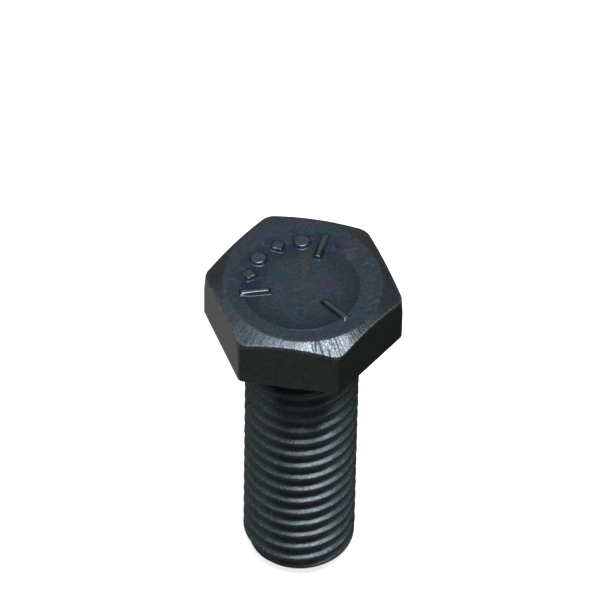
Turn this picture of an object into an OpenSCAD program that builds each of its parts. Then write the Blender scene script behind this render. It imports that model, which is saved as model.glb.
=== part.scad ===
// Hex head cap screw, 1/2-13 UNC by 1 3/8 in, threaded right up to a short neck.
// It is one steel forging, drawn here as its separate features. Each feature is
// a closed solid of its own, and neighbours meet face to face.
// The origin is the centre of the bearing face under the head. +Z runs up
// through the head and the shank hangs below it. All sizes are millimetres.

/* [Hexagon] */
// Width across two opposite flats
head_af = 19.05; // [18:0.05:20]
// Height of the head from the bearing face to the top face
head_h = 7.3; // [6.5:0.1:8.2]
// How far each upright corner falls short of a sharp one
corner_loss = 0.1; // [0.05:0.01:0.3]
// Circle where the top chamfer starts, as a share of the width across flats
chamfer_share = 0.905; // [0.86:0.005:0.95]
// Slope of the top chamfer
chamfer_angle = 23; // [15:1:30]

/* [Washer face] */
// Diameter of the round bearing face
washer_d = 18.1; // [17:0.1:18.6]
// Thickness of the round bearing face
washer_h = 0.6; // [0.2:0.05:0.65]

/* [Top recess] */
// Diameter of the shallow round recess at the top face
recess_d = 12.9; // [12:0.1:13.5]
// Depth of the recess
recess_depth = 0.2; // [0.1:0.05:0.5]
// Width of the recess's sloping wall
recess_wall = 1.2; // [0.6:0.1:2]
// Where the recess sits off the head's centre, as the die left it
recess_shift = [-0.2, -0.5]; // [-0.6:0.05:0.6]

/* [Raised marks] */
// How far the marks stand above the top face
mark_rise = 0.2; // [0.05:0.05:0.3]
// Directions of the three radial grade bars
bar_angles = [79, 204, 320]; // [0:1:360]
// Distances from the head's centre to the middles of the bars
bar_radii = [5.65, 5.45, 5.2]; // [5:0.05:5.8]
// How far each bar is turned off its radius, as the die left it
bar_twists = [3, -6.5, 2.5]; // [-10:0.5:10]
// Lengths of the bars
bar_lengths = [3.5, 3.2, 3.7]; // [2:0.1:4]
// Width of a bar
bar_w = 0.7; // [0.4:0.05:1]
// Directions of the four plain pads, by turns a round one and a square one
pad_angles = [101, 127, 154, 179]; // [0:1:360]
// Distance from the head's centre to a pad
pad_radius = 6; // [5.6:0.05:6.8]
// Width of a pad
pad_w = 1.8; // [1:0.1:2]

/* [Shank] */
// Length from the bearing face to the flat point
shank_length = 34.925; // [25:0.005:50]
// Diameter of the plain neck
neck_d = 12.6; // [12.58:0.01:12.7]
// Distance from the bearing face to the end of the neck's straight wall
neck_length = 2.0; // [1.5:0.1:5]
// Radius of the fillet between the bearing face and the neck
fillet_r = 0.5; // [0.35:0.05:0.55]
// Diameter of the flat point
point_d = 9.4; // [8.6:0.1:10]

/* [Thread] */
// Diameter over the thread's crests
crest_d = 12.57; // [12.4:0.01:12.58]
// Threads in one inch
threads_per_inch = 13; // [12:1:14]
// Direction in which the ridge begins, seen from above
thread_start = 117; // [0:1:359]

/* [Hidden] */

EPS = 0.5;                    // how far a cutter runs past what it cuts
ROUND_SIDES = 96;             // sides on round solids
RINGS_PER_TURN = 36;          // cross-sections of the ridge in one turn
FADE_TURNS = 0.75;            // turns over which the ridge grows and dies away
FADE_START = 0.15;            // size of the ridge at its two tips, as a share
HEAD_COLOR = [0.20, 0.23, 0.27];
MARK_COLOR = [0.30, 0.34, 0.40];
SHANK_COLOR = [0.16, 0.19, 0.22];

chamfer_r = chamfer_share * head_af / 2;
sharp_corner_r = head_af / sqrt(3);
corner_r = sharp_corner_r - corner_loss;
recess_floor_z = head_h - recess_depth;
fillet_outer_r = neck_d / 2 + fillet_r;

pitch = 25.4 / threads_per_inch;
thread_depth = 0.59 * pitch;
crest_r = crest_d / 2;
root_r = crest_r - thread_depth;
crest_half = pitch / 16;
base_half = crest_half + thread_depth * tan(30);
shoulder_z = -neck_length - (neck_d / 2 - root_r);
point_z = -shank_length;
point_top_z = point_z + crest_r - point_d / 2;

// the ridge starts just under the shoulder and dies away just above the point
ridge_top_z = shoulder_z - FADE_START * base_half - 0.2;
ridge_end_z = point_z + root_r - point_d / 2 + FADE_START * base_half + 0.05;
ridge_turns = (ridge_top_z - ridge_end_z) / pitch;
ring_count = ceil(ridge_turns * RINGS_PER_TURN);

// cross-section of the ridge: [height above the root, distance along the axis]
RIDGE_SECTION = [[0, base_half], [thread_depth, crest_half],
                 [thread_depth, -crest_half], [0, -base_half]];

// share of its full size that the ridge has after so many turns
function ridge_share(turn) =
    let (to_nearer_end = min(turn, ridge_turns - turn) / FADE_TURNS)
    min(1, FADE_START + (1 - FADE_START) * to_nearer_end);

// the four corners of one cross-section, the ridge turning clockwise as it goes down
function ridge_ring(turn) =
    let (share = ridge_share(turn), direction = thread_start - 360 * turn,
         middle_z = ridge_top_z - pitch * turn)
    [for (corner = RIDGE_SECTION)
        let (r = root_r + share * corner[0])
        [r * cos(direction), r * sin(direction), middle_z + share * corner[1]]];

// two triangles for each side of each stretch between cross-sections
function ridge_sides(corners) =
    [for (ring = [0 : ring_count - 1], side = [0 : corners - 1], half = [0, 1])
        let (here = ring * corners, next = here + corners, other = (side + 1) % corners)
        half == 0 ? [here + side, here + other, next + other]
                  : [here + side, next + other, next + side]];

// solid of revolution for the head's top: flat, then sloping down to past the corners
module chamfered_blank() {
    rotate_extrude($fn = ROUND_SIDES)
        polygon([[0, washer_h], [corner_r, washer_h],
                 [corner_r, head_h - (corner_r - chamfer_r) * tan(chamfer_angle)],
                 [chamfer_r, head_h], [0, head_h]]);
}

module recess_cutter() {
    translate([recess_shift[0], recess_shift[1], recess_floor_z])
        cylinder(h = recess_depth + EPS,
                 r1 = recess_d / 2 - recess_wall,
                 r2 = recess_d / 2 + EPS * recess_wall / recess_depth,
                 $fn = ROUND_SIDES);
}

module head_solid() {
    difference() {
        intersection() {
            translate([0, 0, washer_h])
                cylinder(h = head_h - washer_h, r = sharp_corner_r, $fn = 6);
            chamfered_blank();
        }
        recess_cutter();
    }
}

// what a mark's upright block leaves once the head's own metal is taken away
module standing_on_head() {
    difference() {
        translate([0, 0, recess_floor_z]) children();
        head_solid();
    }
}

module hex_head() {
    color(HEAD_COLOR) head_solid();
}

module washer_face() {
    color(HEAD_COLOR)
        difference() {
            cylinder(h = washer_h, d = washer_d, $fn = ROUND_SIDES);
            translate([0, 0, -EPS])
                cylinder(h = washer_h + 2 * EPS, r = fillet_outer_r, $fn = ROUND_SIDES);
        }
}

module grade_bars() {
    color(MARK_COLOR)
        standing_on_head()
            for (i = [0 : len(bar_angles) - 1])
                rotate(bar_angles[i])
                    translate([bar_radii[i], 0, 0])
                        rotate(bar_twists[i])
                            translate([-bar_lengths[i] / 2, -bar_w / 2, 0])
                                cube([bar_lengths[i], bar_w, recess_depth + mark_rise]);
}

module plain_pads() {
    color(MARK_COLOR)
        standing_on_head()
            for (i = [0 : len(pad_angles) - 1])
                rotate(pad_angles[i])
                    translate([pad_radius, 0, 0])
                        if (i % 2 == 0)
                            cylinder(h = recess_depth + mark_rise, d = pad_w,
                                     $fn = ROUND_SIDES);
                        else
                            cylinder(h = recess_depth + mark_rise, d = pad_w, $fn = 4);
}

// fills the washer face's ring and flares from the neck out to the bearing face
module underhead_fillet() {
    color(SHANK_COLOR)
        difference() {
            translate([0, 0, -fillet_r])
                cylinder(h = washer_h + fillet_r, r = fillet_outer_r, $fn = ROUND_SIDES);
            rotate_extrude($fn = ROUND_SIDES)
                translate([fillet_outer_r, -fillet_r])
                    circle(r = fillet_r, $fn = ROUND_SIDES);
        }
}

module neck() {
    color(SHANK_COLOR) {
        translate([0, 0, -neck_length])
            cylinder(h = neck_length - fillet_r, d = neck_d, $fn = ROUND_SIDES);
        translate([0, 0, shoulder_z])
            cylinder(h = -neck_length - shoulder_z, r1 = root_r, d2 = neck_d,
                     $fn = ROUND_SIDES);
    }
}

module thread_core() {
    color(SHANK_COLOR)
        translate([0, 0, point_top_z])
            cylinder(h = shoulder_z - point_top_z, r = root_r, $fn = ROUND_SIDES);
}

module thread_ridge() {
    corners = len(RIDGE_SECTION);
    last = ring_count * corners;
    color(SHANK_COLOR)
        polyhedron(
            points = [for (ring = [0 : ring_count])
                          each ridge_ring(ridge_turns * ring / ring_count)],
            faces = concat([[3, 2, 1, 0]], ridge_sides(corners),
                           [[last, last + 1, last + 2, last + 3]]));
}

module chamfered_point() {
    color(SHANK_COLOR)
        rotate_extrude($fn = ROUND_SIDES)
            polygon([[0, point_z], [point_d / 2, point_z],
                     [root_r, point_z + root_r - point_d / 2],
                     [root_r, point_top_z], [0, point_top_z]]);
}

hex_head();
washer_face();
grade_bars();
plain_pads();
underhead_fillet();
neck();
thread_core();
thread_ridge();
chamfered_point();
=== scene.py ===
"""The looks of a black oxide hex bolt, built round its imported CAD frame.

Every feature of the forging gets a fine mesh of its own and a procedural steel.
Shapes are worked out in millimetres in the row frame: the bearing face is at
z = 0, the head stands above it and the shank hangs below it.
"""
import math

import bpy
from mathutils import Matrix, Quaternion, Vector, noise


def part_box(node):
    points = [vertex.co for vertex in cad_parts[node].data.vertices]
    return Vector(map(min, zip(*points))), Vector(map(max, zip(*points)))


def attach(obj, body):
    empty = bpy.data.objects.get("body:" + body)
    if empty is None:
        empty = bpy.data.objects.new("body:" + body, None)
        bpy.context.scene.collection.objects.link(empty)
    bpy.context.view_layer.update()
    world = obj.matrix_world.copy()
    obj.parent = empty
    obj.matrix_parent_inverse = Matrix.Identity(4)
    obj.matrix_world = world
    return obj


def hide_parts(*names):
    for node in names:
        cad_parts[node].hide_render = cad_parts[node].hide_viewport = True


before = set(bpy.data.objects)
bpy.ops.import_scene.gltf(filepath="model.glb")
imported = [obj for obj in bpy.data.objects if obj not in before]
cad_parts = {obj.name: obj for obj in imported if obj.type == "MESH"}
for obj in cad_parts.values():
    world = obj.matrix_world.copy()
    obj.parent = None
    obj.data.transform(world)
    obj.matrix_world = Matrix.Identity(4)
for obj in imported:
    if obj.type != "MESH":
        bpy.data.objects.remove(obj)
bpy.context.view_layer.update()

MM = 0.001

# how the steel looks at a point of a mesh, each from 0 to 1: worn to bare metal, and on the
# thread a painted sheen where the light catches it; blued; sooty, and darkened as painted
# shade under the head and round the marks' feet; drawn dark by the trimming die; streaked
# by it; inky blue, and darkened as painted shade round the marks; and rubbed bright, with
# painted glints where the chamfer's highlight falls
TRAITS = ("worn", "blued", "sooty", "drawn", "streaked", "inky", "rubbed")


# ---------------------------------------------------------------- sizes

def box_mm(node):
    """Lowest and highest corner of a CAD node, in millimetres."""
    low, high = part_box(node)
    return low / MM, high / MM


head_low, head_high = box_mm("hex_head")
fillet_low, fillet_high = box_mm("underhead_fillet")
point_low, point_high = box_mm("chamfered_point")

# head
FLAT_R = head_high.y                      # centre to flat
SHARP_CORNER_R = FLAT_R / math.cos(math.radians(30))
CORNER_R = head_high.x                    # centre to rounded corner
HEAD_TOP = head_high.z
HEX_BOTTOM = head_low.z
CORNER_ROUND = (SHARP_CORNER_R - CORNER_R) / (2 / math.sqrt(3) - 1)
TOP_CORNER_ROUND = 1.5                    # rounding of the upright corners at their top
TOP_CORNER_FADE = 2.0                     # height over which it sharpens
CHAMFER_R = 0.905 * FLAT_R                # where the top chamfer starts
CHAMFER_SLOPE = math.radians(23)
SHY_SIDE = math.radians(115)              # direction in which the die cut less chamfer
SHY_START = 0.6                           # how much further out it starts there
SHY_SLOPE = math.radians(6)               # how much flatter it is there
SHY_LIFT = 0.15                           # how much higher the top is at its edge there
SHY_LIFT_R = 5.2                          # radius past which it rises
CROWN_BLEND = 0.2                         # half width of the soft turn into the chamfer
WAVE_ROOM = 0.01                          # how far the top is lowered so that its waves fit
TOP_EDGE = 0.16                           # rounding where the chamfer meets the sides
BOTTOM_EDGE = 0.22                        # rounding under the hexagon

# recess in the head's top
RECESS_X, RECESS_Y = -0.2, -0.5
RECESS_R = 6.45
RECESS_WALL = 1.2
RECESS_DEPTH = 0.15
RECESS_TILT = 0.008                       # fall of its floor to the front right, per mm
LIP_WIDTH, LIP_RISE = 0.15, 0.024         # the low lip squeezed up along one side
LIP_SIDE, LIP_REACH = math.radians(-79), (0.88, 1.0)

# raised marks
MARK_TOP = box_mm("grade_bars")[1].z
# direction, distance from the axis, twist and length of each bar
BARS = ((79, 5.65, 3, 3.5), (204, 5.45, -6.5, 3.2), (320, 5.2, 2.5, 3.7))
BAR_WIDTH = 0.7
PAD_ANGLES = (101, 127, 154, 179)
PAD_MIDDLE, PAD_WIDTH = 6.0, 1.8
MARK_FOOT = 0.24                          # how far a mark's foot flares out
MARK_SHOULDER = 0.24                      # how far its shoulder is rounded in
FOOT_SUNK = 0.012                         # how far its foot lies below the head's skin
MARK_SUNK = 0.15                          # how far its underside lies below its foot
BAR_FADE, PAD_FADE = 1.0, 0.5             # how much of the blue is gone from their tops
# the ring is painted shade round the marks as well as the oxide's deeper blue
INKY_R, INKY_REACH = 5.9, 2.2             # the darker, deeper blue ring round the marks
INKY_FROM, INKY_TO = math.radians(50), math.radians(222)

# The trimming die's marks on the chamfer, each with its side and its reach. A reach is
# two cosines of the angle from the side, where the mark starts and where it is full.
STREAK_SIDE, STREAK_REACH = math.radians(-58), (0.86, 0.98)    # deepest streaks
RUBBED_SIDE, RUBBED_REACH = math.radians(-65), (0.9, 1.0)      # rubbed bare, mostly where the highlight falls: painted glints
BLUE_SIDE, BLUE_REACH = math.radians(-125), (0.6, 0.9)         # some blue left

# under the head
WASHER_R = box_mm("washer_face")[1].x
WASHER_EDGE = 0.14
FILLET_OUTER_R = fillet_high.x
FILLET_R = -fillet_low.z
NECK_R = box_mm("neck")[1].x

# thread
PITCH = 25.4 / 13
ROOT_R = box_mm("thread_core")[1].x
THREAD_DEPTH = 0.59 * PITCH
CREST_R = ROOT_R + THREAD_DEPTH
CREST_HALF = PITCH / 16
FLANK_SLOPE = 1 / math.tan(math.radians(30))
SHOULDER_Z = box_mm("neck")[0].z
NECK_END = SHOULDER_Z + (NECK_R - ROOT_R)
THREAD_START = math.radians(117)
RIDGE_HALF = CREST_HALF + THREAD_DEPTH / FLANK_SLOPE    # at the root
RIDGE_TOP = SHOULDER_Z - 0.2 - 0.15 * RIDGE_HALF
GROW_TURNS = 0.75
CREST_ROUND, ROOT_ROUND, SHOULDER_ROUND, POINT_ROUND = 0.14, 0.45, 0.5, 0.16
BURNISH_LENGTH = 11.0                     # how far down the thread's painted sheen takes to grow full; the upper turns stay darker, as painted shade under the head

# point
POINT_Z = point_low.z
POINT_R = CREST_R - (point_high.z - POINT_Z)
POINT_JOIN = POINT_Z + ROOT_R - POINT_R    # where thread and point meet

SHANK_SIDES = 160


# ---------------------------------------------------------------- small tools

def spread(first, last, steps):
    """Evenly spaced values from first to last, both included."""
    return [first + (last - first) * i / steps for i in range(steps + 1)]


def smooth_step(value):
    """Eases from 0 to 1 while value goes from 0 to 1, and holds outside that."""
    value = min(1.0, max(0.0, value))
    return value * value * (3 - 2 * value)


def soft_min(a, b, width):
    """The smaller of two values, with the change from one to the other rounded."""
    overlap = max(width - abs(a - b), 0) / width
    return min(a, b) - overlap * overlap * width / 4


def soft_max(a, b, width):
    return -soft_min(-a, -b, width)


def bumpy(point, fineness):
    """Smooth noise from about -1 to 1, the same on every run."""
    return noise.noise(Vector(point) * fineness)


def nearness(direction, side, reach):
    """How near, from 0 to 1, a direction lies to a side. reach is the cosines of the
    angle between them at which nearness starts and is full."""
    start, full = reach
    return smooth_step((math.cos(direction - side) - start) / (full - start))


def look(**shown):
    """A point's traits in the order of TRAITS, with 0 for each that isn't given."""
    return tuple(shown.get(name, 0.0) for name in TRAITS)


def polar(radius, direction, z):
    """A point by its distance from the axis, its direction seen from above and its height."""
    return (radius * math.cos(direction), radius * math.sin(direction), z)


def mesh_piece(name, points, faces, traits, material, replaced):
    """A smooth-shaded object from points in millimetres, with the material's traits at each."""
    mesh = bpy.data.meshes.new(name)
    mesh.from_pydata([Vector(p) * MM for p in points], [], faces)
    for i, trait_name in enumerate(TRAITS):
        values = [of_point[i] for of_point in traits]
        mesh.attributes.new(trait_name, "FLOAT", "POINT").data.foreach_set("value", values)
    mesh.shade_smooth()
    mesh.validate()
    piece = bpy.data.objects.new(name, mesh)
    bpy.context.scene.collection.objects.link(piece)
    mesh.materials.append(material)
    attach(piece, "root")
    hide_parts(*replaced)
    return piece


def ring_solid(rings, traits_of):
    """Points, faces and traits of a closed skin over rings, with a fan over each end.

    Each ring is a list of points, all of one length. The first ring is the top one,
    and points run anticlockwise seen from above.
    """
    count = len(rings[0])
    points = [p for ring in rings for p in ring]
    faces = []
    for r in range(len(rings) - 1):
        for i in range(count):
            j = (i + 1) % count
            above, below = r * count, (r + 1) * count
            faces.append((above + i, below + i, below + j, above + j))
    for ring, first, upward in ((rings[0], 0, True),
                                (rings[-1], (len(rings) - 1) * count, False)):
        middle = len(points)
        points.append(tuple(sum(p[k] for p in ring) / count for k in range(3)))
        for i in range(count):
            j = (i + 1) % count
            fan = (middle, first + i, first + j)
            faces.append(fan if upward else fan[::-1])
    return points, faces, [traits_of(p) for p in points]


# ---------------------------------------------------------------- head

def hexagon_radius(direction, rounding=CORNER_ROUND):
    """Distance from the axis to a rounded hexagon, which has corners at 0, 60 ... degrees."""
    turn = direction % math.radians(60)
    off_corner = min(turn, math.radians(60) - turn)
    centre = (FLAT_R - rounding) / math.cos(math.radians(30))
    touch = math.atan2(rounding / 2, centre + rounding * math.cos(math.radians(30)))
    if off_corner < touch:
        across = centre * math.sin(off_corner)
        return centre * math.cos(off_corner) + math.sqrt(rounding ** 2 - across ** 2)
    return FLAT_R / math.cos(math.radians(30) - off_corner)


def head_directions():
    """Directions round the head, closer together at the six corners."""
    near = [i * 0.6 for i in range(-10, 11)]
    along = spread(near[-1], 60 + near[0], 20)[1:-1]
    return [math.radians(60 * side + d) for side in range(6) for d in near + along]


def rim_gap(x, y):
    """How far inside the recess's rim a point of the top lies."""
    return RECESS_R - math.hypot(x - RECESS_X, y - RECESS_Y)


def shyness(direction):
    """How far, from 0 to 1, a direction lies towards the side with less chamfer."""
    return max(0.0, math.cos(direction - SHY_SIDE)) ** 2


def chamfer_start(direction):
    return CHAMFER_R + SHY_START * shyness(direction)


def chamfer_slope(direction):
    return CHAMFER_SLOPE - SHY_SLOPE * shyness(direction)


def top_height(x, y):
    """Height of the head's top, with its recess and the slight waves of a forging."""
    up_wall = 1 - min(1.0, max(0.0, rim_gap(x, y) / RECESS_WALL))
    depth = (RECESS_DEPTH + RECESS_TILT * (x - y) * math.sqrt(0.5)) * (1 - up_wall ** 2)
    waves = 0.012 * bumpy((x, y, 0), 0.45) + 0.006 * bumpy((x, y, 7), 1.3)
    direction = math.atan2(y, x)
    outwards = (math.hypot(x, y) - SHY_LIFT_R) / (FLAT_R - SHY_LIFT_R)
    lift = SHY_LIFT * shyness(direction) * smooth_step(outwards)
    lip = nearness(direction, LIP_SIDE, LIP_REACH)
    lip *= LIP_RISE * smooth_step(1 - abs(rim_gap(x, y)) / LIP_WIDTH)
    return HEAD_TOP - depth + lift + waves + lip - WAVE_ROOM


def crown_drop(x, y):
    """How far the chamfer has dropped at a point, with a soft start."""
    direction = math.atan2(y, x)
    past = (math.hypot(x, y) - chamfer_start(direction)) / CROWN_BLEND
    soft = CROWN_BLEND * ((past + 1) ** 2 / 4 if past < 1 else past) if past > -1 else 0.0
    return soft * math.tan(chamfer_slope(direction))


def head_profile(direction):
    """Points down the head in one direction, from the recess's middle to under the hexagon."""
    side_r = hexagon_radius(direction)
    top_r = hexagon_radius(direction, TOP_CORNER_ROUND)
    slope = chamfer_slope(direction)
    line = []
    inner = [0.3] + spread(0.8, RECESS_R - RECESS_WALL, 7)
    wall = spread(RECESS_R - RECESS_WALL, RECESS_R - LIP_WIDTH, 9)[1:]
    lip = spread(RECESS_R - LIP_WIDTH, RECESS_R, 4)[1:]
    for r in inner + wall + lip:
        x, y, _ = polar(r, direction, 0)
        line.append((x + RECESS_X, y + RECESS_Y, top_height(x + RECESS_X, y + RECESS_Y)))
    crown_start = chamfer_start(direction) - CROWN_BLEND
    beyond_lip = LIP_WIDTH / (crown_start - RECESS_R)
    for share in spread(0, beyond_lip, 3)[1:] + spread(beyond_lip, 1, 7)[1:]:
        r = RECESS_R + (crown_start - RECESS_R) * share
        x, y, _ = polar(r, direction, 0)
        x, y = x + RECESS_X * (1 - share), y + RECESS_Y * (1 - share)
        line.append((x, y, top_height(x, y)))
    edge_start = top_r - TOP_EDGE * (1 - math.sin(slope))
    crown_end = min(crown_start + 2 * CROWN_BLEND, edge_start - 0.02)
    for r in spread(crown_start, crown_end, 6)[1:] + spread(crown_end, edge_start, 6)[1:]:
        x, y, _ = polar(r, direction, 0)
        line.append((x, y, top_height(x, y) - crown_drop(x, y)))
    # the rounded edge between the chamfer and the side
    centre_z = line[-1][2] - TOP_EDGE * math.cos(slope)
    for lean in spread(slope, math.pi / 2, 4)[1:]:
        r = top_r - TOP_EDGE + TOP_EDGE * math.sin(lean)
        line.append(polar(r, direction, centre_z + TOP_EDGE * math.cos(lean)))
    for z in spread(centre_z, HEX_BOTTOM + BOTTOM_EDGE, 12)[1:]:
        sharpened = smooth_step((centre_z - z) / TOP_CORNER_FADE)
        x, y, _ = polar(top_r + (side_r - top_r) * sharpened, direction, 0)
        bulge = 1 + 0.0012 * bumpy((x, y, z), 0.4)
        line.append((x * bulge, y * bulge, z))
    for lean in spread(0, math.pi / 2, 4)[1:]:
        r = side_r - BOTTOM_EDGE + BOTTOM_EDGE * math.cos(lean)
        line.append(polar(r, direction, HEX_BOTTOM + BOTTOM_EDGE * (1 - math.sin(lean))))
    for share in (0.97, 0.9, 0.7, 0.4):
        line.append(polar((side_r - BOTTOM_EDGE) * share, direction, HEX_BOTTOM))
    return line


def head_traits(point):
    """The head is worn on its upper edges, blued on top, darker just inside the recess's rim,
    and darker and deeper blue round the marks: the oxide's own blue with painted shade round
    them. On the chamfer the trimming die left it darker, streaked and partly rubbed bare,
    with some blue at one side; the rubbed flecks gather where the chamfer's highlight falls,
    as painted glints."""
    x, y, z = point
    r, direction = math.hypot(x, y), math.atan2(y, x)
    edge_r = hexagon_radius(direction, TOP_CORNER_ROUND)
    edge = polar(edge_r, direction, 0)
    edge_z = top_height(*edge[:2]) - crown_drop(*edge[:2])
    worn = smooth_step(1 - math.hypot(edge_r - r, edge_z - z) / 0.3)
    on_top = smooth_step((z - edge_z + 0.2) / 0.2)
    off_chamfer = chamfer_start(direction) - r
    shy = shyness(direction)
    bluer = nearness(direction, BLUE_SIDE, BLUE_REACH)
    blued = on_top * max(smooth_step((off_chamfer + 0.2) / 0.4), 0.5 * shy, 0.8 * bluer)
    gap = rim_gap(x, y)
    # darker just inside the recess's rim
    sooty = on_top * smooth_step(gap / 0.15) * smooth_step(1 - gap / (3 * RECESS_WALL))
    on_chamfer = on_top * smooth_step((0.2 - off_chamfer) / 0.3) * (1 - shy)
    drawn = on_chamfer * (1 - 0.7 * bluer)
    streaked = on_chamfer * (0.2 + 0.8 * nearness(direction, STREAK_SIDE, STREAK_REACH))
    worn = max(worn, 0.08 * bluer * on_chamfer)
    # bare flecks, gathered where the chamfer's highlight falls: painted glints
    rubbed = on_chamfer * max(nearness(direction, RUBBED_SIDE, RUBBED_REACH), 0.2 * bluer)
    # darker, deeper blue ring round the marks: painted shade round them, with the oxide's own blue
    into_marks = min(direction % math.tau - INKY_FROM, INKY_TO - direction % math.tau)
    inky = on_top * smooth_step(1 - abs(r - INKY_R) / INKY_REACH) * smooth_step(into_marks / 0.3)
    return look(worn=worn, blued=blued, sooty=sooty, drawn=drawn, streaked=streaked,
                inky=inky, rubbed=rubbed)


def make_head(material):
    lines = [head_profile(d) for d in head_directions()]
    rings = [[line[i] for line in lines] for i in range(len(lines[0]))]
    return mesh_piece("forged_head", *ring_solid(rings, head_traits), material, ["hex_head"])


# ---------------------------------------------------------------- raised marks

def mark_point(x, y, inside):
    """A point of a mark's skin, inside being how far it is within the mark's outline."""
    share = smooth_step((inside + MARK_FOOT) / (MARK_FOOT + MARK_SHOULDER))
    foot = top_height(x, y) - crown_drop(x, y) - FOOT_SUNK
    return (x, y, foot + (MARK_TOP - foot) * share)


def mark_traits(point, faded):
    """A mark is darker and bluer round its foot, as painted shade where it meets the head, and on
    top it is worn and its blue has faded.
    """
    raised = smooth_step((point[2] - HEAD_TOP) / (MARK_TOP - HEAD_TOP))
    # the foot is darkened with soot and ink colours: painted shade where the mark meets the head
    return look(worn=0.2 * raised, blued=1 - faded * raised, sooty=1 - raised,
                inky=0.7 * (1 - raised))


def bar_traits(point):
    return mark_traits(point, BAR_FADE)


def pad_traits(point):
    return mark_traits(point, PAD_FADE)


def bar_patch(angle, distance, twist, length):
    """One bar's skin, as rows of points across it."""
    half_l, half_w = length / 2, BAR_WIDTH / 2
    middle_x, middle_y, _ = polar(distance, math.radians(angle), 0)
    turn = math.radians(angle + twist)
    rows = []
    for u in spread(-half_l - MARK_FOOT, half_l + MARK_FOOT, 60):
        row = []
        for v in spread(-half_w - MARK_FOOT, half_w + MARK_FOOT, 20):
            inside = min(half_l - abs(u), half_w - abs(v))
            if half_l - abs(u) < 0 and half_w - abs(v) < 0:
                inside = -math.hypot(half_l - abs(u), half_w - abs(v))
            x = middle_x + u * math.cos(turn) - v * math.sin(turn)
            y = middle_y + u * math.sin(turn) + v * math.cos(turn)
            row.append(mark_point(x, y, inside))
        rows.append(row)
    return rows


def grid_solid(rows, traits_of):
    """A closed skin over a patch of rows, with a flat underside sunk into the head."""
    across = len(rows[0])
    top = [p for row in rows for p in row]
    sunk = min(p[2] for p in top) - MARK_SUNK
    points = top + [(x, y, sunk) for x, y, _ in top]
    faces = []
    for r in range(len(rows) - 1):
        for i in range(across - 1):
            a = r * across + i
            b = a + across
            faces.append((a, b, b + 1, a + 1))
            faces.append(tuple(k + len(top) for k in (a, a + 1, b + 1, b)))
    last = len(top) - across
    rim = list(range(across)) + [r * across + across - 1 for r in range(1, len(rows))] \
        + [last + i for i in range(across - 2, -1, -1)] \
        + [r * across for r in range(len(rows) - 2, 0, -1)]
    for k, a in enumerate(rim):
        b = rim[(k + 1) % len(rim)]
        faces.append((a, b, b + len(top), a + len(top)))
    return points, faces, [traits_of(p) for p in points]


def pad_rings(angle, square):
    """Rings of one pad's skin, from its middle outwards and down into the head."""
    turn = math.radians(angle)
    centre_x, centre_y, _ = polar(PAD_MIDDLE, turn, 0)
    rings = []
    for share in spread(0, 1, 16)[1:]:
        ring = []
        for d in spread(0, math.tau, 48)[:-1]:
            quarter = math.pi / 2
            outline = PAD_WIDTH / 2
            if square:
                corner_off = (d + quarter / 2) % quarter - quarter / 2
                outline *= math.cos(quarter / 2) / math.cos(quarter / 2 - abs(corner_off))
                outline = soft_min(outline, PAD_WIDTH / 2 * 0.93, 0.1)
            r = (outline + MARK_FOOT) * share
            x = centre_x + r * math.cos(turn + d)
            y = centre_y + r * math.sin(turn + d)
            ring.append(mark_point(x, y, outline - r))
        rings.append(ring)
    sunk = min(p[2] for p in rings[-1]) - MARK_SUNK
    rings.append([(x, y, sunk) for x, y, _ in rings[-1]])
    return rings


def join_solids(solids):
    """One list of points, faces and traits from several."""
    points, faces, traits = [], [], []
    for more_points, more_faces, more_traits in solids:
        faces += [tuple(k + len(points) for k in face) for face in more_faces]
        points += more_points
        traits += more_traits
    return points, faces, traits


def make_bars(material):
    solids = [grid_solid(bar_patch(*bar), bar_traits) for bar in BARS]
    return mesh_piece("raised_bars", *join_solids(solids), material, ["grade_bars"])


def make_pads(material):
    solids = [ring_solid(pad_rings(angle, i % 2 == 1), pad_traits)
              for i, angle in enumerate(PAD_ANGLES)]
    return mesh_piece("raised_pads", *join_solids(solids), material, ["plain_pads"])


# ---------------------------------------------------------------- under the head

def round_rings(outline, sides=SHANK_SIDES):
    """Rings of a solid of revolution, from (radius, z) points listed from the top down."""
    directions = spread(0, math.tau, sides)[:-1]
    return [[polar(r, d, z) for d in directions] for r, z in outline]


def under_traits(point):
    """Under the head the steel is grey, and worn on the bearing face's rim."""
    x, y, z = point
    return look(worn=0.6 * smooth_step(1 - math.hypot(math.hypot(x, y) - WASHER_R, z) / 0.3))


def make_washer_face(material):
    """The ring of the bearing face, with a broken lower edge."""
    outline = [(FILLET_OUTER_R, HEX_BOTTOM)]
    outline += [(r, HEX_BOTTOM) for r in spread(FILLET_OUTER_R, WASHER_R, 4)[1:]]
    outline += [(WASHER_R, z) for z in spread(HEX_BOTTOM, WASHER_EDGE, 3)[1:]]
    outline += [(WASHER_R - WASHER_EDGE * (1 - math.cos(a)), WASHER_EDGE * (1 - math.sin(a)))
                for a in spread(0, math.pi / 2, 5)[1:]]
    outline += [(r, 0.0) for r in spread(WASHER_R - WASHER_EDGE, FILLET_OUTER_R, 5)[1:]]
    rings = round_rings(outline)
    sides = len(rings[0])
    points = [p for ring in rings for p in ring]
    faces = []
    for r in range(len(rings)):
        for i in range(sides):
            j = (i + 1) % sides
            above, below = r * sides, (r + 1) % len(rings) * sides
            faces.append((above + i, below + i, below + j, above + j))
    traits = [under_traits(p) for p in points]
    return mesh_piece("bearing_ring", points, faces, traits, material, ["washer_face"])


def make_fillet(material):
    outline = [(FILLET_OUTER_R, z) for z in spread(HEX_BOTTOM, 0, 3)]
    outline += [(FILLET_OUTER_R - FILLET_R * math.sin(a), FILLET_R * (math.cos(a) - 1))
                for a in spread(0, math.pi / 2, 8)[1:]]
    return mesh_piece("shank_fillet", *ring_solid(round_rings(outline), under_traits),
                      material, ["underhead_fillet"])


# ---------------------------------------------------------------- shank

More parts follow.
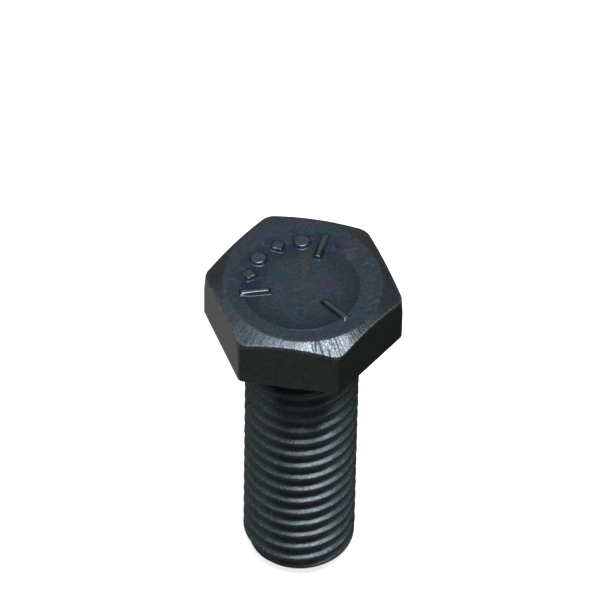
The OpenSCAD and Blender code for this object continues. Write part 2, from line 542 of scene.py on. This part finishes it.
def nearest_crest(direction, z):
    """Turns down to the nearest stretch of the ridge, and how far off its middle z lies."""
    part_turn = ((THREAD_START - direction) % math.tau) / math.tau
    turn = part_turn + round((RIDGE_TOP - z) / PITCH - part_turn)
    return turn, abs(z - (RIDGE_TOP - PITCH * turn))


def shank_radius(direction, z):
    """Radius of the shank's skin: neck, shoulder, rolled thread and chamfered end in one."""
    turn, off_crest = nearest_crest(direction, z)
    flank = CREST_R - (off_crest - CREST_HALF) * FLANK_SLOPE
    ridge = soft_min(CREST_R, flank, CREST_ROUND)
    grown = smooth_step(turn / GROW_TURNS)
    radius = soft_max(ROOT_R, ROOT_R + (ridge - ROOT_R) * grown, ROOT_ROUND)
    shoulder = min(NECK_R, NECK_R - (NECK_END - z))
    radius = soft_max(radius, shoulder, SHOULDER_ROUND) if z < NECK_END else NECK_R
    cone = POINT_R + (z - POINT_Z)
    return soft_min(radius, cone, POINT_ROUND)


def shank_point(direction, z):
    """A point of the shank's skin, with the small waves that rolling leaves."""
    radius = shank_radius(direction, z)
    on_crest = smooth_step((radius - CREST_R + 0.3) / 0.3)
    x, y, _ = polar(6, direction, z)
    waves = 0.010 * bumpy((x, y, z), 0.8) + 0.012 * on_crest * bumpy((x, y, z), 3.1)
    return polar(radius + waves, direction, z)


def shank_ring(z):
    return [shank_point(d, z) for d in spread(0, math.tau, SHANK_SIDES)[:-1]]


def shank_traits(point):
    """The thread is lighter on the outer part of its upper flanks, where the light catches
    them: some burnish and a painted sheen. The sheen grows lower down, so the upper turns
    stay darker as painted shade under the head. Its roots are a little lighter, as painted
    light. Just under the head it is darkened, as painted shade of the head with some soot."""
    x, y, z = point
    out = (math.hypot(x, y) - ROOT_R) / THREAD_DEPTH    # 0 at the root, 1 at the crest
    _, off_crest = nearest_crest(math.atan2(y, x), z)
    off_top = smooth_step((off_crest - 0.6 * CREST_HALF) / CREST_HALF)
    further_down = smooth_step((SHOULDER_Z - z) / BURNISH_LENGTH)
    # painted sheen on the outer upper flank, where the light catches it, with some burnish
    worn = off_top * smooth_step((out - 0.5) / 0.4) * (0.85 + 0.4 * bumpy(point, 0.9))
    # darkened just under the head: painted shade of the head, with some soot
    sooty = smooth_step((z - SHOULDER_Z) / (1.5 * PITCH) + 1.1)
    # the sheen grows away from the head, painting the head's shade on the upper turns; the roots
    # get a little painted light
    worn = max(worn * further_down, 0.2 * (1 - sooty) * smooth_step(1 - out / 0.4))
    return look(worn=worn, blued=0.8 + 0.4 * bumpy(point, 0.35), sooty=sooty, streaked=1.0)


def make_neck(material):
    rings = [shank_ring(z) for z in spread(-FILLET_R, SHOULDER_Z, 30)]
    return mesh_piece("shank_neck", *ring_solid(rings, shank_traits), material, ["neck"])


def profile_rows():
    """How far below the ridge's middle line each row of the thread's mesh runs, over one pitch."""
    edge = CREST_ROUND / FLANK_SLOPE
    root_start = RIDGE_HALF - 0.2
    half = [0, CREST_HALF - edge, CREST_HALF, CREST_HALF + edge]
    half += spread(CREST_HALF + edge, root_start, 3)[1:] + spread(root_start, PITCH / 2, 4)[1:]
    return [-d for d in reversed(half[1:])] + half[:-1]


def thread_column(side, first_turn, last_turn, points):
    """Adds the points down one side of the thread, and returns which point each row uses.

    A row follows the helix, so it climbs by a pitch in one turn. Rows that would lie
    past an end of the thread share the point at that end.
    """
    direction = THREAD_START + math.tau * side / SHANK_SIDES
    column = []
    for turn in range(first_turn, last_turn):
        for below in profile_rows():
            z = RIDGE_TOP - PITCH * (turn - side / SHANK_SIDES) - below
            z = min(SHOULDER_Z, max(POINT_JOIN, z))
            if not column or points[column[-1]][2] != z:
                points.append(shank_point(direction, z))
                column.append(len(points) - 1)
            else:
                column.append(column[-1])
    return column


def make_thread(material):
    """The rolled thread, its rows running along the ridge so that the crest stays crisp."""
    first_turn = math.floor((RIDGE_TOP - SHOULDER_Z) / PITCH) - 2
    last_turn = math.ceil((RIDGE_TOP - POINT_JOIN) / PITCH) + 3
    points = []
    columns = [thread_column(side, first_turn, last_turn, points) for side in range(SHANK_SIDES)]
    per_turn = len(profile_rows())
    columns.append([columns[0][0]] * per_turn + columns[0][:-per_turn])
    top, bottom = len(points), len(points) + 1
    points += [(0, 0, SHOULDER_Z), (0, 0, POINT_JOIN)]
    faces = []
    for here, beside in zip(columns, columns[1:]):
        for k in range(len(here) - 1):
            corners = (here[k], here[k + 1], beside[k + 1], beside[k])
            face = tuple(dict.fromkeys(corners))
            if len(face) > 2:
                faces.append(face)
        faces.append((top, here[0], beside[0]))
        faces.append((bottom, beside[-1], here[-1]))
    traits = [shank_traits(p) for p in points]
    return mesh_piece("rolled_thread", points, faces, traits, material,
                      ["thread_core", "thread_ridge"])


def point_traits(point):
    """The point is one even grey, only a little blued and worn."""
    return look(worn=0.2, blued=0.3, streaked=0.3)


def make_point(material):
    """The cone under the thread and the flat end, slightly dished by the cutter."""
    rings = [shank_ring(z) for z in spread(POINT_JOIN, POINT_Z + 0.08, 4)]
    edge_r = POINT_R + 0.02
    outline = [(edge_r, POINT_Z + 0.03), (edge_r - 0.06, POINT_Z)]
    outline += [(r, POINT_Z + 0.05 * smooth_step((edge_r - 0.3 - r) / 1.2))
                for r in spread(edge_r - 0.3, 0.3, 14)]
    rings += round_rings(outline)
    return mesh_piece("flat_point", *ring_solid(rings, point_traits), material,
                      ["chamfered_point"])


# ---------------------------------------------------------------- steel

def add_node(tree, kind, inputs=None, **settings):
    """A shader node with its settings, and its inputs as values or other nodes' outputs."""
    made = tree.nodes.new(kind)
    for key, value in settings.items():
        setattr(made, key, value)
    for socket, value in (inputs or {}).items():
        if isinstance(value, bpy.types.NodeSocket):
            tree.links.new(value, made.inputs[socket])
        else:
            made.inputs[socket].default_value = value
    return made


def noise_value(tree, place, scale, detail=4.0, stretch=(1, 1, 1)):
    """A noise from 0 to 1, with scale in bumps per millimetre and stretch along each axis."""
    placed = add_node(tree, "ShaderNodeVectorMath",
                      {0: place, 1: [1 / (s * MM) for s in stretch]}, operation="MULTIPLY")
    return add_node(tree, "ShaderNodeTexNoise",
                    {"Vector": placed.outputs[0], "Scale": scale, "Detail": detail,
                     "Roughness": 0.6}).outputs["Fac"]


def rescale(tree, value, low, high, to_low, to_high):
    """A value's range from low to high, stretched to another and clamped to it."""
    return add_node(tree, "ShaderNodeMapRange",
                    {"Value": value, "From Min": low, "From Max": high,
                     "To Min": to_low, "To Max": to_high}).outputs["Result"]


def mix_color(tree, share, first, second, blend="MIX"):
    made = add_node(tree, "ShaderNodeMix", {0: share, 6: first, 7: second},
                    data_type="RGBA", blend_type=blend)
    return made.outputs[2]


def color_stops(tree, value, stops):
    """A colour ramp from (position, colour) pairs in order."""
    ramp = add_node(tree, "ShaderNodeValToRGB", {"Fac": value})
    elements = ramp.color_ramp.elements
    elements[0].position, elements[0].color = stops[0]
    elements[1].position, elements[1].color = stops[-1]
    for position, color in stops[1:-1]:
        elements.new(position).color = color
    return ramp.outputs["Color"]


TEAL = (0.042, 0.080, 0.100, 1)
BLUE = (0.056, 0.073, 0.101, 1)
PURPLE = (0.073, 0.068, 0.104, 1)
DULL = (0.072, 0.079, 0.086, 1)           # where the blue has gone flat
GREY = (0.084, 0.094, 0.090, 1)
MOSS = (0.056, 0.090, 0.088, 1)
NAVY = (0.052, 0.072, 0.100, 1)
DRAWN = (0.051, 0.054, 0.061, 1)          # the chamfer's darker grey
# INK and SOOT also paint shade round the marks and under the head; BURNISHED also paints the
# thread's sheen, and BARE the chamfer's glints
INK = (0.036, 0.038, 0.074, 1)
SOOT = (0.040, 0.051, 0.064, 1)
BURNISHED = (0.23, 0.24, 0.25, 1)
BARE = (0.35, 0.37, 0.40, 1)
GROOVE = (0.018, 0.022, 0.030, 1)
STREAKED_GRAIN = 0.055                    # how much deeper the grain is in the chamfer's streaks
DRAWN_ROUGHNESS = 0.05                    # how much rougher the chamfer is
METALLIC = 0.85                           # the oxide is a thin skin on the metal


def trait(tree, name):
    """One of TRAITS, as the mesh has it."""
    return add_node(tree, "ShaderNodeAttribute", attribute_name=name).outputs["Fac"]


def times(tree, first, second):
    return add_node(tree, "ShaderNodeMath", {0: first, 1: second}, operation="MULTIPLY").outputs[0]


def times_plus(tree, first, second, added):
    return add_node(tree, "ShaderNodeMath", {0: first, 1: second, 2: added},
                    operation="MULTIPLY_ADD").outputs[0]


def radial_streaks(tree, place):
    """Fine lines that run outwards and down from the bolt's axis, as dies leave them.

    They are a noise over the direction from the axis. A little of the place itself is
    added, so that they bend and end.
    """
    across = add_node(tree, "ShaderNodeVectorMath", {0: place, 1: (1, 1, 0)},
                      operation="MULTIPLY").outputs[0]
    outwards = add_node(tree, "ShaderNodeVectorMath", {0: across},
                        operation="NORMALIZE").outputs[0]
    wander = add_node(tree, "ShaderNodeVectorMath", {0: place, 1: (8, 8, 8)},
                      operation="MULTIPLY").outputs[0]
    bent = add_node(tree, "ShaderNodeVectorMath", {0: outwards, 1: wander},
                    operation="ADD").outputs[0]
    return add_node(tree, "ShaderNodeTexNoise",
                    {"Vector": bent, "Scale": 42.0, "Detail": 1.2,
                     "Roughness": 0.5}).outputs["Fac"]


def rolled_lines(tree, place):
    """Fine lines that run round the shank, as thread rolling leaves them."""
    return noise_value(tree, place, 5.0, 3.0, stretch=(7, 7, 1))


def scratches(tree, place):
    """Fine lines that run nearly one way across the top, from 0 to 1."""
    turned = add_node(tree, "ShaderNodeVectorRotate",
                      {"Vector": place, "Axis": (0, 0, 1), "Angle": math.radians(-28)}).outputs[0]
    lines = noise_value(tree, turned, 5.0, 2.0, stretch=(7, 1, 1))
    return rescale(tree, lines, 0.54, 0.70, 0, 1)


def streaked_chamfer(tree):
    """How streaked a place is, on the chamfer only."""
    return times(tree, trait(tree, "drawn"), trait(tree, "streaked"))


def oxide_color(tree, place, tints):
    """Colour of the oxide where nothing has touched it: drifting tints with dull patches."""
    drift = rescale(tree, noise_value(tree, place, 0.36, 2.0), 0.36, 0.64, 0, 1)
    stops = [(i / (len(tints) - 1), tint) for i, tint in enumerate(tints)]
    dull = rescale(tree, noise_value(tree, place, 0.8, 3.0), 0.42, 0.68, 0, 0.6)
    return mix_color(tree, dull, color_stops(tree, drift, stops), DULL)


def steel_color(tree, place, tints, pattern):
    """The oxide's colour with its scratches, soot, ink, worn edges and bare streaks, and with the
    painted shade, painted sheen and painted glints that the traits lay in.
    """
    color = oxide_color(tree, place, tints)
    scuffed = rescale(tree, noise_value(tree, place, 0.5, 3.0), 0.42, 0.60, 0.04, 0.30)
    color = mix_color(tree, times(tree, scuffed, scratches(tree, place)), color, BURNISHED)
    color = mix_color(tree, trait(tree, "blued"), GREY, color)
    color = mix_color(tree, trait(tree, "drawn"), color, DRAWN)
    # soot, and painted shade under the head and round the marks' feet
    color = mix_color(tree, trait(tree, "sooty"), color, SOOT)
    # deeper blue, and painted shade round the marks
    inked = rescale(tree, noise_value(tree, place, 0.9, 4.0), 0.36, 0.56, 0.1, 0.95)
    color = mix_color(tree, times(tree, trait(tree, "inky"), inked), color, INK)
    mottle = rescale(tree, noise_value(tree, place, 3.2, 6.0), 0.3, 0.7, 0.72, 1.28)
    color = add_node(tree, "ShaderNodeVectorMath", {0: color, 3: mottle},
                     operation="SCALE").outputs[0]
    # worn edges, and the thread's painted sheen
    patches = rescale(tree, noise_value(tree, place, 3.8, 5.0), 0.38, 0.62, 0.05, 1.0)
    color = mix_color(tree, times(tree, trait(tree, "worn"), patches), color, BURNISHED)
    # bare flecks, and painted glints in the chamfer's highlight
    flecks = times(tree, rescale(tree, noise_value(tree, place, 4.0, 4.0), 0.4, 0.6, 0.4, 1),
                   rescale(tree, pattern, 0.4, 0.6, 0.2, 1))
    color = mix_color(tree, times(tree, trait(tree, "rubbed"), flecks), color, BARE)
    grooves = rescale(tree, pattern, 0.46, 0.36, 0, 0.48)
    return mix_color(tree, times(tree, streaked_chamfer(tree), grooves), color, GROOVE)


def steel_relief(tree, place, pattern, grain, streak):
    """Height of the steel's fine pits and streaks, in millimetres."""
    depth = times_plus(tree, streaked_chamfer(tree), STREAKED_GRAIN, grain)
    pits = times(tree, noise_value(tree, place, 6.0, 6.0), depth)
    lines = times(tree, trait(tree, "streaked"), times(tree, pattern, streak))
    return add_node(tree, "ShaderNodeMath", {0: pits, 1: lines}, operation="ADD").outputs[0]


def blackened_steel(name, tints, rough, grain, streak, streaks=radial_streaks):
    """Black oxide on steel, with its colour, roughness and relief.

    tints are the blued colours from one end of their drift to the other, rough the
    lowest and highest roughness, grain and streak the depth of the bumps in mm, and
    streaks makes the streaks' pattern.
    """
    material = bpy.data.materials.new(name)
    material.use_nodes = True
    tree = material.node_tree
    tree.nodes.clear()
    place = add_node(tree, "ShaderNodeTexCoord").outputs["Object"]
    pattern = streaks(tree, place)

    roughness = rescale(tree, noise_value(tree, place, 1.4, 5.0), 0.3, 0.7, *rough)
    roughness = times_plus(tree, trait(tree, "drawn"), DRAWN_ROUGHNESS, roughness)
    relief = steel_relief(tree, place, pattern, grain, streak)
    bump = add_node(tree, "ShaderNodeBump", {"Strength": 1.0, "Distance": MM, "Height": relief})
    shader = add_node(tree, "ShaderNodeBsdfPrincipled",
                      {"Base Color": steel_color(tree, place, tints, pattern),
                       "Roughness": roughness, "Metallic": METALLIC, "Normal": bump.outputs[0]})
    out = add_node(tree, "ShaderNodeOutputMaterial")
    tree.links.new(shader.outputs[0], out.inputs["Surface"])
    return material


# ---------------------------------------------------------------- studio

LOOK_AT = Vector((-0.145, -1.45, 6.0)) * MM    # what lies in the middle of the picture
CAMERA_TURN = math.radians(8.3)                # round the bolt, from looking along +Y
CAMERA_RISE = math.radians(47.5)
CAMERA_ROLL = math.radians(1.06)
CAMERA_DISTANCE = 0.669
CAMERA_LENS = 371.5
FLOOR_HALF = 1.5                               # from the floor's middle to its edges, in metres


def toward(turn, rise):
    """Unit vector from the bolt, turned from -Y towards +X and raised from level."""
    return Vector((math.sin(turn) * math.cos(rise), -math.cos(turn) * math.cos(rise),
                   math.sin(rise)))


def make_camera():
    data = bpy.data.cameras.new("camera")
    data.lens = CAMERA_LENS
    data.clip_start, data.clip_end = 0.01, 10
    camera = bpy.data.objects.new("camera", data)
    bpy.context.scene.collection.objects.link(camera)
    back = toward(CAMERA_TURN, CAMERA_RISE)
    camera.location = LOOK_AT + back * CAMERA_DISTANCE
    camera.rotation_mode = "QUATERNION"
    camera.rotation_quaternion = (-back).to_track_quat("-Z", "Y") \
        @ Quaternion((0, 0, 1), CAMERA_ROLL)
    bpy.context.scene.camera = camera


def make_light(name, turn, rise, distance, size, spin, power, color):
    """An oval soft light that faces the head, placed by degrees round and above it.

    spin is how many degrees its longer side is turned from +X.
    """
    data = bpy.data.lights.new(name, "AREA")
    data.shape = "ELLIPSE"
    data.size, data.size_y = size
    data.energy = power
    data.color = color
    light = bpy.data.objects.new(name, data)
    bpy.context.scene.collection.objects.link(light)
    away = toward(math.radians(turn), math.radians(rise))
    light.location = away * distance
    light.rotation_mode = "QUATERNION"
    light.rotation_quaternion = Vector((0, 0, 1)).rotation_difference(away) \
        @ Quaternion((0, 0, 1), math.radians(spin))


def make_floor():
    """A plain pale floor at the bolt's point, too dull to show in the steel."""
    mesh = bpy.data.meshes.new("floor")
    corners = [(-FLOOR_HALF, -FLOOR_HALF), (FLOOR_HALF, -FLOOR_HALF),
               (FLOOR_HALF, FLOOR_HALF), (-FLOOR_HALF, FLOOR_HALF)]
    mesh.from_pydata([(x, y, POINT_Z * MM) for x, y in corners], [], [(0, 1, 2, 3)])
    floor = bpy.data.objects.new("floor", mesh)
    bpy.context.scene.collection.objects.link(floor)
    material = bpy.data.materials.new("floor_paper")
    material.use_nodes = True
    shader = material.node_tree.nodes["Principled BSDF"]
    shader.inputs["Base Color"].default_value = (0.93, 0.93, 0.93, 1)
    shader.inputs["Roughness"].default_value = 0.9
    shader.inputs["Emission Color"].default_value = (1, 1, 1, 1)
    shader.inputs["Emission Strength"].default_value = 0.75
    mesh.materials.append(material)
    floor.visible_glossy = False
    floor.visible_diffuse = False
    floor.visible_shadow = False


# soft glows of the room: degrees round and above the bolt, degrees from the middle to
# the edge, and colour
ROOM_GLOWS = ((-95, 47, 48, (0.145, 0.175, 0.165)),
              (-90, 66, 28, (0.26, 0.30, 0.34)),
              (40, 68, 50, (0.14, 0.155, 0.16)),
              (184, 38, 50, (0.28, 0.29, 0.30)),
              (20, 8, 45, (0.10, 0.105, 0.105)),
              (86, 30, 38, (0.20, 0.225, 0.25)),
              (-128, -40, 60, (0.29, 0.29, 0.29)),
              (-10, -45, 60, (0.13, 0.13, 0.13)))


def make_world():
    """A pale studio: white behind the bolt, dim and uneven in what the steel mirrors."""
    world = bpy.data.worlds.new("studio")
    bpy.context.scene.world = world
    world.use_nodes = True
    tree = world.node_tree
    tree.nodes.clear()
    direction = add_node(tree, "ShaderNodeTexCoord").outputs["Generated"]
    height = add_node(tree, "ShaderNodeSeparateXYZ", {0: direction}).outputs["Z"]
    room = color_stops(tree, rescale(tree, height, -1, 1, 0, 1),
                       [(0.0, (0.03, 0.03, 0.03, 1)), (0.45, (0.10, 0.10, 0.10, 1)),
                        (0.70, (0.11, 0.115, 0.12, 1)), (1.0, (0.15, 0.16, 0.17, 1))])
    for turn, rise, reach, color in ROOM_GLOWS:
        aim = toward(math.radians(turn), math.radians(rise))
        facing = add_node(tree, "ShaderNodeVectorMath", {0: direction, 1: aim},
                          operation="DOT_PRODUCT").outputs["Value"]
        glow = add_node(tree, "ShaderNodeMapRange",
                        {"Value": facing, "From Min": math.cos(math.radians(reach)),
                         "From Max": 1.0}, interpolation_type="SMOOTHSTEP").outputs["Result"]
        glow = add_node(tree, "ShaderNodeVectorMath", {0: color, 3: glow},
                        operation="SCALE").outputs[0]
        room = add_node(tree, "ShaderNodeVectorMath", {0: room, 1: glow},
                        operation="ADD").outputs[0]
    seen = add_node(tree, "ShaderNodeLightPath").outputs["Is Camera Ray"]
    color = mix_color(tree, seen, room, (1, 1, 1, 1))
    light = add_node(tree, "ShaderNodeBackground", {"Color": color, "Strength": 1.0})
    out = add_node(tree, "ShaderNodeOutputWorld")
    tree.links.new(light.outputs[0], out.inputs["Surface"])


# ---------------------------------------------------------------- the bolt

make_camera()
make_world()
make_floor()
make_light("overhead", 52, 78.6, 0.45, (0.33, 0.2), 28, 2.1, (0.86, 0.95, 1.0))

bpy.context.scene.view_settings.view_transform = "Standard"

head_steel = blackened_steel("head_steel", (TEAL, BLUE, PURPLE), (0.28, 0.38), 0.02, 0.05)
mark_steel = blackened_steel("mark_steel", (SOOT, BLUE, TEAL), (0.24, 0.34), 0.01, 0.0)
rolled = ((MOSS, GREY, NAVY), (0.28, 0.36), 0.010, 0.010, rolled_lines)
shank_steel = blackened_steel("shank_steel", *rolled)
thread_steel = blackened_steel("thread_steel", *rolled)

pieces = {
    make_head(head_steel): "head_steel",
    make_bars(mark_steel): "mark_steel",
    make_pads(mark_steel): "mark_steel",
    make_washer_face(head_steel): "head_steel",
    make_fillet(shank_steel): "shank_steel",
    make_neck(shank_steel): "shank_steel",
    make_thread(thread_steel): "thread_steel",
    make_point(thread_steel): "thread_steel",
}
